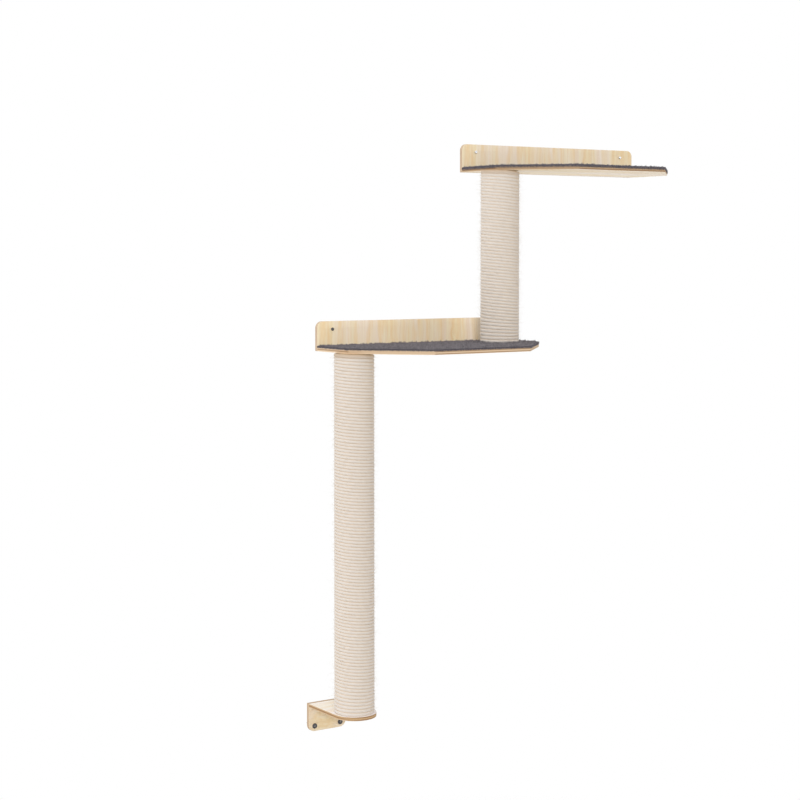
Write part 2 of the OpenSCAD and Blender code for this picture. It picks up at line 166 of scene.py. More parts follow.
def drawn_in(outline, amount):
    """The outline moved inwards by an amount."""
    moved = []
    for i, point in enumerate(outline):
        before = (Vector(point) - Vector(outline[i - 1])).normalized()
        after = (Vector(outline[(i + 1) % len(outline)]) - Vector(point)).normalized()
        inward = Vector((-before.y - after.y, before.x + after.x)).normalized()
        scale = amount / max(0.2, inward.dot(Vector((-after.y, after.x))))
        moved.append((point[0] + inward.x * scale, point[1] + inward.y * scale))
    return moved


def round_hole(a, b, profile):
    """Rings of a hole at (a, b), from (radius, height) pairs that go down through the board."""
    turns = [2 * math.pi * k / hole_steps for k in range(hole_steps)]
    return [([(a + r * math.cos(t), b + r * math.sin(t)) for t in turns], h) for r, h in profile]


def plywood_board(name, outline, holes, placed, material):
    """A board with sanded edges. placed turns (a, b, height) into a point in the room."""
    side = board_t - 2 * edge_round
    rings = []
    for k in range(edge_rings):
        turn = math.pi / 2 * k / (edge_rings - 1)
        rings.append((edge_round * (1 - math.sin(turn)), board_t - edge_round * (1 - math.cos(turn))))
    rings += [(0, edge_round + side * (1 - edge_margin)), (0, edge_round + side * edge_margin)]
    rings += [(inset, board_t - h) for inset, h in reversed(rings[:edge_rings])]
    loops = [[(drawn_in(outline, inset), h) for inset, h in rings]] + holes
    mesh = bmesh.new()
    tops, bottoms = [], []
    for loop in loops:
        made = [[mesh.verts.new(placed(a, b, h)) for a, b in ring] for ring, h in loop]
        for upper, lower in zip(made, made[1:]):
            for k in range(len(upper)):
                n = (k + 1) % len(upper)
                mesh.faces.new((upper[k], upper[n], lower[n], lower[k])).smooth = True
        tops.append((loop[0][0], made[0]))
        bottoms.append((loop[-1][0], made[-1]))
    for flat in (tops, bottoms):
        flat_verts = [v for _, verts in flat for v in verts]
        shape = [[Vector((a, b, 0)) for a, b in ring] for ring, _ in flat]
        for triangle in tessellate_polygon(shape):
            mesh.faces.new([flat_verts[i] for i in triangle])
    bmesh.ops.recalc_face_normals(mesh, faces=mesh.faces)
    board = bpy.data.objects.new(name, bpy.data.meshes.new(name))
    mesh.to_mesh(board.data)
    mesh.free()
    board.data.set_sharp_from_angle(angle=crease_angle)
    board.data.materials.append(material)
    scene.collection.objects.link(board)
    return board


def stretched_noise(tree, place, along, across, through, detail=2.0, rough=0.5):
    """Noise with a size of its own along the grain, across it and through the board, per metre."""
    scaled = shade(tree, "VectorMath", {"operation": "MULTIPLY"}, {0: place, 1: (along, across, through)})
    inputs = {"Vector": scaled, "Scale": 1.0, "Detail": detail, "Roughness": rough}
    return shade(tree, "TexNoise", {"noise_dimensions": "3D"}, inputs, "Fac")


def split_up(tree, vector):
    """The X, Y and Z of a vector."""
    node = tree.nodes.new("ShaderNodeSeparateXYZ")
    tree.links.new(vector, node.inputs[0])
    return node.outputs


def blank_material(name):
    """A material with an empty node tree, and that tree."""
    material = bpy.data.materials.new(name)
    material.use_nodes = True
    material.node_tree.nodes.clear()
    return material, material.node_tree


def principled(tree, inputs):
    """Makes the material's surface from the inputs of a Principled shader."""
    surface = shade(tree, "BsdfPrincipled", (), inputs)
    tree.links.new(surface, tree.nodes.new("ShaderNodeOutputMaterial").inputs["Surface"])


def new_group(name, inputs, outputs):
    """An empty shader node group, and its inputs' sockets by name."""
    group = bpy.data.node_groups.new(name, "ShaderNodeTree")
    for title, kind, value in inputs:
        socket = group.interface.new_socket(title, in_out="INPUT", socket_type=kind)
        if value is not None:
            socket.default_value = value
    for title, kind in outputs:
        group.interface.new_socket(title, in_out="OUTPUT", socket_type=kind)
    given = group.nodes.new("NodeGroupInput")
    return group, {title: given.outputs[title] for title, _, _ in inputs}


def group_gives(group, results):
    """Links a group's results to its outputs."""
    end = group.nodes.new("NodeGroupOutput")
    for title, socket in results.items():
        group.links.new(socket, end.inputs[title])


# Plywood as a node group: grain on the two faces, and at the edge the layers, every second
# one cut across its fibres and darker. Grain Place is in metres: along, across, through.
ply_group, ply = new_group(
    "plywood",
    [
        ("Grain Place", "NodeSocketVector", None),
        ("Thickness", "NodeSocketFloat", board_t),
        ("Edge Along", "NodeSocketFloat", 0.0),
        ("Edge Across", "NodeSocketFloat", 1.0),
        ("Cream", "NodeSocketColor", (0.97, 0.84, 0.56, 1)),
        ("Rose", "NodeSocketColor", (0.96, 0.82, 0.67, 1)),
        ("Late Wood", "NodeSocketColor", (0.80, 0.58, 0.32, 1)),
        ("Side Grain", "NodeSocketColor", (0.80, 0.64, 0.46, 1)),
        ("End Grain", "NodeSocketColor", (0.45, 0.30, 0.185, 1)),
        ("Honey", "NodeSocketColor", (0.93, 0.69, 0.38, 1)),
        ("Figure", "NodeSocketFloat", 0.24),
        ("Wave", "NodeSocketFloat", 0.012),
        ("Face Tint", "NodeSocketColor", (1, 1, 1, 1)),
        ("Edge Tint", "NodeSocketColor", (1, 1, 1, 1)),
        ("Knot Place", "NodeSocketVector", (0, 0, 0)),
        ("Knot Size", "NodeSocketFloat", 0.0),
    ],
    [("Color", "NodeSocketColor"), ("Roughness", "NodeSocketFloat"), ("Height", "NodeSocketFloat")],
)
t = ply_group
pale_wood = (0.96, 0.89, 0.73, 1)
pore_wood = (0.50, 0.34, 0.19, 1)
speck_wood = (0.36, 0.25, 0.17, 1)
dark_fibre = (0.33, 0.19, 0.10, 1)
glue_line = (0.30, 0.18, 0.10, 1)
knot_bend = 0.007
wander = calc(t, "SUBTRACT", stretched_noise(t, ply["Grain Place"], 10, 13, 0, 2), 0.5)
from_knot = shade(t, "VectorMath", {"operation": "SUBTRACT"}, {0: ply["Grain Place"], 1: ply["Knot Place"]})
oval = shade(t, "VectorMath", {"operation": "MULTIPLY"}, {0: from_knot, 1: (0.55, 1, 0)})
knot_r = shade(t, "VectorMath", {"operation": "LENGTH"}, {0: oval}, "Value")
knot_share = calc(t, "DIVIDE", knot_r, calc(t, "MAXIMUM", ply["Knot Size"], 0.0001))
has_knot = calc(t, "GREATER_THAN", ply["Knot Size"], 0.0005)
in_knot = calc(t, "MULTIPLY", spread(t, knot_share, 0.15, 1.0, 1, 0), has_knot)
bend = calc(t, "ADD", calc(t, "MULTIPLY", wander, ply["Wave"]), calc(t, "MULTIPLY", in_knot, knot_bend))
bent = shade(t, "CombineXYZ", (), {1: bend})
grain = shade(t, "VectorMath", {"operation": "ADD"}, {0: ply["Grain Place"], 1: bent})
broad = stretched_noise(t, grain, 2, 11, 3, 1, 0.5)
bands = calc(t, "MULTIPLY_ADD", stretched_noise(t, grain, 4, 58, 9, 3, 0.65), 0.7, broad)
bands = spread(t, bands, 0.70, 1.0)
honey = calc(t, "MULTIPLY_ADD", broad, -0.35, stretched_noise(t, grain, 5, 46, 14, 4, 0.68))
honey = spread(t, honey, 0.30, 0.46, 0, 0.9)
streaks = stretched_noise(t, grain, 2.4, 170, 60, 5, 0.72)
rings = calc(t, "ABSOLUTE", calc(t, "SUBTRACT", stretched_noise(t, grain, 1.1, 75, 20, 2, 0.5), 0.5))
ring_lines = spread(t, rings, 0.0, 0.035, 1, 0)
pores = spread(t, stretched_noise(t, grain, 70, 1900, 500, 2, 0.6), 0.60, 0.74)
face = mixed(t, bands, ply["Cream"], ply["Rose"])
face = mixed(t, honey, face, ply["Honey"])
figure = calc(t, "MULTIPLY", spread(t, streaks, 0.42, 0.75), ply["Figure"])
face = mixed(t, figure, face, ply["Late Wood"])
face = mixed(t, spread(t, streaks, 0.25, 0.48, 0.25, 0), face, pale_wood)
face = mixed(t, calc(t, "MULTIPLY", ring_lines, 0.13), face, ply["Late Wood"])
face = mixed(t, calc(t, "MULTIPLY", pores, 0.12), face, pore_wood)
swirl = calc(t, "SINE", calc(t, "MULTIPLY_ADD", knot_r, 2600.0, calc(t, "MULTIPLY", wander, 9.0)))
knot_tone = calc(t, "MULTIPLY", in_knot, spread(t, swirl, -1, 1, 0.16, 0.5))
face = mixed(t, knot_tone, face, ply["Late Wood"])
speck_spots = {"Vector": ply["Grain Place"], "Scale": 9.0, "Randomness": 1.0}
specks = shade(t, "TexVoronoi", (), speck_spots, "Distance")
face = mixed(t, spread(t, specks, 0.012, 0.022, 0.55, 0), face, speck_wood)
through = split_up(t, ply["Grain Place"])["Z"]
skin_t = 0.0005
skin_blur = 0.0001
inner_layers = 3
ragged = calc(t, "SUBTRACT", stretched_noise(t, ply["Grain Place"], 90, 90, 0, 3, 0.6), 0.5)
depth = calc(t, "MULTIPLY_ADD", ragged, 0.00016, through)
from_skin = calc(t, "MINIMUM", depth, calc(t, "SUBTRACT", ply["Thickness"], depth))
inner = spread(t, from_skin, skin_t - skin_blur, skin_t + skin_blur)
layer = calc(t, "DIVIDE", calc(t, "SUBTRACT", depth, skin_t), (board_t - 2 * skin_t) / inner_layers)
layer_edge = calc(t, "ABSOLUTE", calc(t, "SUBTRACT", calc(t, "FRACT", layer), 0.5))
layer_pair = calc(t, "MULTIPLY", calc(t, "FLOOR", layer), 0.5)
long_layer = calc(t, "GREATER_THAN", calc(t, "FRACT", layer_pair), 0.25)
end_share = shade(t, "Mix", {"data_type": "FLOAT"}, {
    0: long_layer, 2: calc(t, "POWER", ply["Edge Across"], 3.0), 3: calc(t, "POWER", ply["Edge Along"], 3.0)})
end_grain = stretched_noise(t, ply["Grain Place"], 700, 700, 500, 3, 0.7)
side_grain = stretched_noise(t, ply["Grain Place"], 60, 60, 3500, 3, 0.6)
fibre_tone = shade(t, "Mix", {"data_type": "FLOAT"}, {0: end_share, 2: side_grain, 3: end_grain})
layers = mixed(t, end_share, ply["Side Grain"], ply["End Grain"])
layers = mixed(t, spread(t, fibre_tone, 0.35, 0.7, 0, 0.22), layers, dark_fibre)
layers = mixed(t, spread(t, layer_edge, 0.44, 0.49, 0, 0.4), layers, glue_line)
face = mixed(t, 1.0, face, ply["Face Tint"], "MULTIPLY")
layers = mixed(t, 1.0, layers, ply["Edge Tint"], "MULTIPLY")
group_gives(t, {
    "Color": mixed(t, inner, face, layers),
    "Roughness": calc(t, "ADD", spread(t, streaks, 0.3, 0.7, 0.44, 0.56), calc(t, "MULTIPLY", inner, 0.2)),
    "Height": calc(t, "SUBTRACT", calc(t, "MULTIPLY", streaks, 0.5), calc(t, "MULTIPLY", pores, 0.6)),
})


def plywood(name, along, across, through, origin, sign, face_tint=(1, 1, 1), edge_tint=(1, 1, 1), figure=0.24,
            wave=0.012, run_out=1.0, knot=None):
    """Plywood whose grain runs along one axis of the room, with its place given by axis letters."""
    material, tree = blank_material(name)
    place = shade(tree, "TexCoord", (), (), "Object")
    place = split_up(tree, shade(tree, "VectorMath", {"operation": "SUBTRACT"}, {0: place, 1: origin}))
    deep = calc(tree, "MULTIPLY", place[through], sign)
    long = calc(tree, "MULTIPLY", place[along], run_out)
    turned = shade(tree, "CombineXYZ", (), {0: long, 1: place[across], 2: deep})
    wood = tree.nodes.new("ShaderNodeGroup")
    wood.node_tree = ply_group
    tree.links.new(turned, wood.inputs["Grain Place"])
    facing = split_up(tree, shade(tree, "TexCoord", (), (), "Normal"))
    tree.links.new(calc(tree, "ABSOLUTE", facing[along]), wood.inputs["Edge Along"])
    tree.links.new(calc(tree, "ABSOLUTE", facing[across]), wood.inputs["Edge Across"])
    wood.inputs["Figure"].default_value = figure
    wood.inputs["Wave"].default_value = wave
    wood.inputs["Face Tint"].default_value = (*face_tint, 1)
    wood.inputs["Edge Tint"].default_value = (*edge_tint, 1)
    if knot:
        wood.inputs["Knot Place"].default_value = (knot[0], knot[1], 0)
        wood.inputs["Knot Size"].default_value = knot[2]
    relief = shade(tree, "Bump", (), {"Strength": 0.35, "Distance": 0.0002, "Height": wood.outputs["Height"]})
    principled(tree, {
        "Base Color": wood.outputs["Color"],
        "Roughness": wood.outputs["Roughness"],
        "Normal": relief,
        "Specular IOR Level": 0.45,
    })
    return material


plate_half_w = 0.049
plate_half_h = 0.0325
post_y = -0.125
hole_edge = 0.0003
wall_hole_r = 0.0025
wall_hole = [(wall_hole_r + hole_edge, board_t), (wall_hole_r, board_t - hole_edge), (wall_hole_r, hole_edge),
             (wall_hole_r + hole_edge, 0)]
joint_hole_r = 0.002
joint_sink = 0.00175
joint_hole_down = [(joint_hole_r + hole_edge, board_t), (joint_hole_r, board_t - hole_edge),
                   (joint_hole_r, joint_sink), (joint_hole_r + joint_sink, 0)]
bolt_hole_r = 0.00425
bolt_mouth_r = 0.0046
bolt_hole = [(bolt_mouth_r, board_t), (bolt_hole_r, board_t - hole_edge), (bolt_hole_r, hole_edge),
             (bolt_mouth_r, 0)]
big_corner_r = 0.015
small_corner_r = 0.0008


def upright(a, b, h):
    """From a board's own outline to its place on the wall, h in front of it."""
    return (a, -h, b)


back_outline = rounded_outline([
    (-plate_half_w, -plate_half_h, big_corner_r), (plate_half_w, -plate_half_h, big_corner_r),
    (plate_half_w, plate_half_h, small_corner_r), (-plate_half_w, plate_half_h, small_corner_r),
])
bracket_screw_places = [(-0.034, -0.0205), (0.034, -0.0205)]
bracket_joint_places = [(-0.025, 0.028), (0.025, 0.028)]
back_holes = [round_hole(x, z, wall_hole) for x, z in bracket_screw_places]
back_holes += [round_hole(x, z, joint_hole_down) for x, z in bracket_joint_places]
back_wood = plywood("plywood_of_back_plate", "X", "Z", "Y", (-0.30, 0, 0.11), -1, (0.82, 0.81, 0.79),
                    (0.84, 0.79, 0.74), 0.85, 0.02, 3.5)
back_plate = plywood_board("bracket_back_plate_board", back_outline, back_holes, upright, back_wood)
post_plate_z = plate_half_h - board_t


def level_at(z):
    """A board laid flat with its underside at z."""
    return lambda a, b, h: (a, b, z + h)


half_round_r = plate_half_w - 0.00001
plate_outline = rounded_outline([
    (-plate_half_w, post_y - plate_half_w, half_round_r), (plate_half_w, post_y - plate_half_w, half_round_r),
    (plate_half_w, -board_t, small_corner_r), (-plate_half_w, -board_t, small_corner_r),
])
# Painted light: the post plate's faces are tinted paler and bluer, which stands in for the light and sheen on
# its top.
plate_wood = plywood("plywood_of_post_plate", "X", "Y", "Z", (0.41, 0.2, post_plate_z), 1, (0.92, 1.01, 1.32),
                     (0.76, 0.64, 0.48), 0.15)
post_plate = plywood_board("bracket_post_plate_board", plate_outline, [round_hole(0, post_y, bolt_hole)],
                           level_at(post_plate_z), plate_wood)
for piece, node in ((back_plate, "bracket_back_plate"), (post_plate, "bracket_post_plate")):
    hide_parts(node)
    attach(piece, "root")

# Bracket screws
# Two black pan-head screws hold the bracket to the wall, with cross recesses worn to bare steel.
# Two zinc-plated countersunk ones join the plates from behind.
head_h = 0.003
large_head_d = 0.012
dome_rings = 24
neck_r = 0.00167
thread_pitch = 0.0022
thread_step = 0.00025
thread_run_in = 0.002
thread_r = 0.00225
core_r = 0.0015
screw_reach = 0.022
screw_tip = 0.004
screw_sides = 72
thread_crease_angle = math.radians(40)


def pan_screws(name, places, head_d, material):
    """Wall screws along Y, each one turned profile with a cross recess in its head and a real thread."""
    head_r = head_d / 2
    turn = np.arange(screw_sides) * 2 * math.pi / screw_sides
    rows = []
    for k in range(dome_rings):
        r = head_r * math.sin(math.pi / 2 * k / (dome_rings - 1))
        rows.append((r, math.sqrt(head_d ** 2 - r ** 2) - head_d + head_h))
    rows += [(head_r, head_r * 0.2), (head_r * 0.985, 0.0002), (head_r * 0.96, 0)]
    rows += [(neck_r, 0), (neck_r, -board_t * 0.5), (neck_r, -board_t)]
    profile = np.array(rows)
    radius = np.repeat(profile[:, :1], screw_sides, 1)
    height = np.repeat(profile[:, 1:], screw_sides, 1)
    across, up = radius * np.cos(turn), radius * np.sin(turn)
    arm_w, arm_l, recess_depth = head_d * 0.062, head_d * 0.27, head_d * 2 / 15
    cross = np.minimum(
        np.maximum(np.abs(across) - arm_w, np.abs(up) - arm_l),
        np.maximum(np.abs(up) - arm_w, np.abs(across) - arm_l),
    )
    sunk = np.clip(0.5 - cross / (head_d * 0.035), 0, 1)
    sunk[dome_rings:] = 0
    height = height - sunk * recess_depth
    whole_reach = screw_reach + screw_tip
    steps = int(whole_reach / thread_step)
    deep = np.linspace(0, whole_reach, steps + 1)[1:]
    phase = (deep[:, None] / thread_pitch - turn / (2 * math.pi)) % 1
    ridge = np.clip(1 - np.abs(phase - 0.5) * 4.2, 0, 1)
    taper = np.clip((whole_reach - deep) / screw_tip, 0.06, 1)[:, None]
    grown = np.clip(deep / thread_run_in, 0, 1)[:, None]
    thread = (core_r + (thread_r - core_r) * ridge * grown) * taper
    radius = np.vstack([radius, thread])
    height = np.vstack([height, np.repeat(-board_t - deep[:, None], screw_sides, 1)])
    worn = np.vstack([sunk, np.zeros_like(thread)])
    count = len(radius)
    points, faces, wear = [], [], []
    for x, z in places:
        start = len(points)
        px = x + radius[1:] * np.cos(turn)
        pz = z + radius[1:] * np.sin(turn)
        points += np.stack([px, -board_t - height[1:], pz], -1).reshape(-1, 3).tolist()
        wear += worn[1:].ravel().tolist()
        for i in range(count - 2):
            for k in range(screw_sides):
                n = (k + 1) % screw_sides
                a = start + i * screw_sides
                faces.append((a + k, a + n, a + screw_sides + n, a + screw_sides + k))
        top = len(points)
        points += [(x, -board_t - height[0, 0], z), (x, whole_reach, z)]
        wear += [1.0, 0.0]
        last = start + (count - 2) * screw_sides
        for k in range(screw_sides):
            n = (k + 1) % screw_sides
            faces.append((top, start + n, start + k))
            faces.append((top + 1, last + k, last + n))
    mesh = bpy.data.meshes.new(name)
    mesh.from_pydata(points, [], faces)
    mesh.attributes.new("worn", "FLOAT", "POINT").data.foreach_set("value", wear)
    mesh.shade_smooth()
    mesh.set_sharp_from_angle(angle=thread_crease_angle)
    mesh.materials.append(material)
    screws = bpy.data.objects.new(name, mesh)
    scene.collection.objects.link(screws)
    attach(screws, "root")
    return screws


# Scuffed metal as a node group, for every screw, bolt and nut: a finish that varies a little,
# fine scratches, and bare steel where a driver has worn it.
metal_group, metal = new_group(
    "scuffed_metal",
    [
        ("Finish", "NodeSocketColor", (0.5, 0.5, 0.5, 1)),
        ("Dull Finish", "NodeSocketColor", (0.4, 0.4, 0.4, 1)),
        ("Bare Steel", "NodeSocketColor", (0.45, 0.44, 0.42, 1)),
        ("Wear", "NodeSocketFloat", 0.0),
        ("Gloss", "NodeSocketFloat", 0.35),
    ],
    [("Color", "NodeSocketColor"), ("Roughness", "NodeSocketFloat"), ("Height", "NodeSocketFloat")],
)
t = metal_group
place = shade(t, "TexCoord", (), (), "Object")
patches = stretched_noise(t, place, 900, 900, 900, 3, 0.6)
scratches = stretched_noise(t, place, 600, 9000, 2500, 2, 0.6)
finish = mixed(t, spread(t, patches, 0.35, 0.65), metal["Finish"], metal["Dull Finish"])
worn_off = calc(t, "MULTIPLY", metal["Wear"], spread(t, patches, 0.3, 0.6, 0.65, 1.0))
group_gives(t, {
    "Color": mixed(t, worn_off, finish, metal["Bare Steel"]),
    "Roughness": calc(t, "ADD", metal["Gloss"], spread(t, scratches, 0.35, 0.65, 0, 0.12)),
    "Height": calc(t, "ADD", patches, calc(t, "MULTIPLY", scratches, 0.4)),
})


def scuffed_metal(name, finish, dull, gloss, metallic, wear=0.0):
    """A metal finish, with the share of it that is worn off taken from the piece's worn attribute."""
    material, tree = blank_material(name)
    steel = tree.nodes.new("ShaderNodeGroup")
    steel.node_tree = metal_group
    steel.inputs["Finish"].default_value = (*finish, 1)
    steel.inputs["Dull Finish"].default_value = (*dull, 1)
    steel.inputs["Gloss"].default_value = gloss
    if wear:
        worn = shade(tree, "Attribute", {"attribute_name": "worn"}, (), "Fac")
        tree.links.new(calc(tree, "MULTIPLY", worn, wear), steel.inputs["Wear"])
    height = steel.outputs["Height"]
    principled(tree, {
        "Base Color": steel.outputs["Color"],
        "Metallic": metallic,
        "Roughness": steel.outputs["Roughness"],
        "Normal": shade(tree, "Bump", (), {"Strength": 0.2, "Distance": 0.00005, "Height": height}),
    })
    return material


def finished(names, material):
    """Gives CAD nodes that are shown as they are their finish."""
    for name in names:
        if not cad[name].material_slots:
            cad[name].data.materials.append(material)
        for slot in cad[name].material_slots:
            slot.material = material


black_finish = scuffed_metal("black_screw", (0.035, 0.035, 0.042), (0.05, 0.05, 0.058), 0.36, 0.2, 1.0)
zinc_finish = scuffed_metal("zinc_plate", (0.66, 0.68, 0.72), (0.52, 0.54, 0.57), 0.26, 1.0)
bracket_screws = pan_screws("bracket_pan_screws", bracket_screw_places, large_head_d, black_finish)
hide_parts("bracket_wall_screws")
finished(["bracket_joint_screws"], zinc_finish)

# Lower post core
# A spiral-wound card tube with a turned wooden plug pinned in each end. A tee nut in each plug
# takes a bolt, one up through the bracket and washer, one down through the middle shelf.
card, tree = blank_material("spiral_card")
place = shade(tree, "TexCoord", (), (), "Object")
pulp = stretched_noise(tree, place, 300, 300, 300, 4, 0.7)
split = split_up(tree, place)
winding = calc(tree, "MULTIPLY_ADD", split["Z"], 11.0, calc(tree, "MULTIPLY", split["X"], 6.0))
from_seam = calc(tree, "ABSOLUTE", calc(tree, "SUBTRACT", calc(tree, "FRACT", winding), 0.5))
seam = spread(tree, from_seam, 0.48, 0.5)
card_color = mixed(tree, spread(tree, pulp, 0.3, 0.7), (0.50, 0.35, 0.20, 1), (0.42, 0.28, 0.15, 1))
card_color = mixed(tree, calc(tree, "MULTIPLY", seam, 0.6), card_color, (0.25, 0.16, 0.09, 1))
principled(tree, {
    "Base Color": card_color,
    "Roughness": spread(tree, pulp, 0.3, 0.7, 0.8, 0.95),
    "Normal": shade(tree, "Bump", (), {"Strength": 0.3, "Distance": 0.0003, "Height": pulp}),
})

turned_wood, tree = blank_material("turned_plug_wood")
place = shade(tree, "TexCoord", (), (), "Object")
wood_grain = stretched_noise(tree, place, 8, 260, 60, 4, 0.6)
turning = stretched_noise(tree, place, 5, 5, 1500, 2, 0.5)
light_wood, dark_wood = (0.66, 0.47, 0.26, 1), (0.50, 0.32, 0.16, 1)
principled(tree, {
    "Base Color": mixed(tree, spread(tree, wood_grain, 0.3, 0.7), light_wood, dark_wood),
    "Roughness": spread(tree, turning, 0.3, 0.7, 0.6, 0.75),
    "Normal": shade(tree, "Bump", (), {"Strength": 0.3, "Distance": 0.0002, "Height": turning}),
})
finished(["lower_post_tube"], card)
finished(["lower_post_bottom_plug", "lower_post_top_plug"], turned_wood)
finished(["lower_post_bottom_bolt", "lower_post_bottom_washer", "lower_post_plug_pins",
          "lower_post_tee_nuts", "lower_post_top_bolt"], zinc_finish)

# Lower post rope
# One length of 7 mm three-strand sisal, wound tightly up the tube, its ends bent in through slots at
# the back. The top turns carry a painted shade from the shelf, and the dry rope sheds fine loose fibres.
rope_r = 0.0035
wound_r = 0.0415
rope_bend_r = 0.0045
rope_tail = 0.007
bend_steps = 8
board_gap = 0.0001
end_swell = 1.15
rings_a_turn = 126
section_out = np.array([-0.31, 0.34, 0.85, 1.0, 0.85, 0.34, -0.31])
section_up = np.array([-0.93, -1.0, -0.62, 0.0, 0.62, 1.0, 0.93])
section_turn = np.arctan2(section_up, section_out)
# groove_share marks the section's points in the grooves: it fills the upper rope's grooves and places the
# painted groove shade.
groove_share = np.array([1.0, 1.0, 0.4, 0.0, 0.4, 1.0, 1.0])
painted_top_shade_h = 0.013
strand_lay = 0.024
strand_relief = 0.035
low_settling_turns = 8
high_settling_turns = 4
high_flatness = 0.6
step_up_share = 0.14
slant_x, slant_y = 0.831, -0.556
rope_steps_a_row = 400


def smooth_step(value, low, high):
    """From 0 at low to 1 at high, level at both ends."""
    share = np.clip((value - low) / (high - low), 0, 1)
    return share * share * (3 - 2 * share)


def rope_route(length, turns, slant):
    """Points up the rope's middle round an axis at the origin, with the outward direction at each.

    The first turn lies flat on its board and steps up at the back. The turns above it pass into a
    coil that slants down to the right, and the last turn is nearly level again.
    """
    inner_r = math.sqrt(wound_r ** 2 - 2 * wound_r * rope_bend_r)
    lead = math.atan(rope_bend_r / inner_r)
    swing = math.pi / 2 + lead
    coil_turn = 2 * math.pi * turns - 2 * lead
    coil_steps = int(rings_a_turn * turns)
    low_z = rope_r + board_gap
    tail = []
    for k in range(2):
        inside = rope_tail * (1 - k / 2)
        tail.append(((0, inner_r - inside), math.pi / 2, -rope_bend_r * swing - inside))
    for k in range(bend_steps):
        heading = math.pi / 2 - swing * k / bend_steps
        point = (rope_bend_r - rope_bend_r * math.sin(heading), inner_r + rope_bend_r * math.cos(heading))
        tail.append((point, heading, -rope_bend_r * swing * (1 - k / bend_steps)))
    start_turn = math.pi / 2 - lead
    rows = [(x, y, heading, s) for (x, y), heading, s in tail]
    for k in range(coil_steps + 1):
        turn = start_turn - coil_turn * k / coil_steps
        rows.append((wound_r * math.cos(turn), wound_r * math.sin(turn), turn - math.pi / 2,
                     wound_r * coil_turn * k / coil_steps))
    end = rows[-1][3]
    rows += [(-x, y, math.pi * 2 - heading + math.pi, end - s) for (x, y), heading, s in reversed(tail)]
    rows = np.array(rows)
    route = np.zeros((len(rows), 3))
    route[:, :2] = rows[:, :2]
    coil = slice(len(tail), len(rows) - len(tail))
    gone = (lead + coil_turn * np.arange(coil_steps + 1) / coil_steps) / (2 * math.pi)
    low_flat = np.clip(1 - gone / low_settling_turns, 0, 1)
    high_flat = high_flatness * np.clip(1 - (turns - gone) / high_settling_turns, 0, 1)
    part = gone % 1
    rise = np.floor(gone) + (1 - low_flat - high_flat) * part
    rise += low_flat * smooth_step(part, 1 - step_up_share, 1)
    rise += high_flat * smooth_step(part, 0, step_up_share)
    route[:, 2] = low_z
    route[coil, 2] += (length - 2 * low_z) / turns * rise
    aside = (route[coil, 0] * slant_x + route[coil, 1] * slant_y) / wound_r
    route[coil, 2] -= slant * (1 - low_flat - high_flat) * aside
    route[coil.stop:, 2] = length - low_z
    heading = rows[:, 2]
    outward = np.stack([np.cos(heading + math.pi / 2), np.sin(heading + math.pi / 2), np.zeros(len(rows))], 1)
    above = np.full(len(rows), rope_r)
    below = np.full(len(rows), rope_r)
    levels = route[coil, 2]
    gap = levels[rings_a_turn:] - levels[:-rings_a_turn]
    above[coil] = np.append(gap / 2, (length - levels[-rings_a_turn:]).clip(0, rope_r * end_swell))
    below[coil] = np.append(levels[:rings_a_turn].clip(0, rope_r * end_swell), gap / 2)
    return route, outward, rows[:, 3] - rows[0, 3], above, below


def rope_surface(route, outward, run, above, below, axis, wobble, filled):
    """Points of the rope's skin: three strands that twist as they run, pressed against their neighbours."""
    twist = section_turn[None, :] - 2 * math.pi * run[:, None] / strand_lay
    strands = np.abs(np.cos(1.5 * twist)) ** 0.7 - 0.6
    ripple = 0.007 * np.sin(run * 41.0 + wobble) + 0.005 * np.sin(run * 97.0 + 2.1 * wobble)
    thick = rope_r * (1 + strand_relief * strands + ripple[:, None])
    out = thick * (section_out + filled * groove_share * (section_out > 0))
    up = thick / rope_r * section_up * np.where(section_up > 0, above[:, None], below[:, None])
    sway = 0.00006 * np.sin(run * 23.0 + 3.3 * wobble) + 0.00004 * np.sin(run * 61.0)
    skin = route[:, None, :] + outward[:, None, :] * out[:, :, None]
    skin[:, :, 2] += up + sway[:, None]
    place = np.stack([rope_r * np.cos(twist), rope_r * np.sin(twist),
                      np.repeat(run[:, None], len(section_turn), 1)], -1)
    return skin + np.array(axis), place


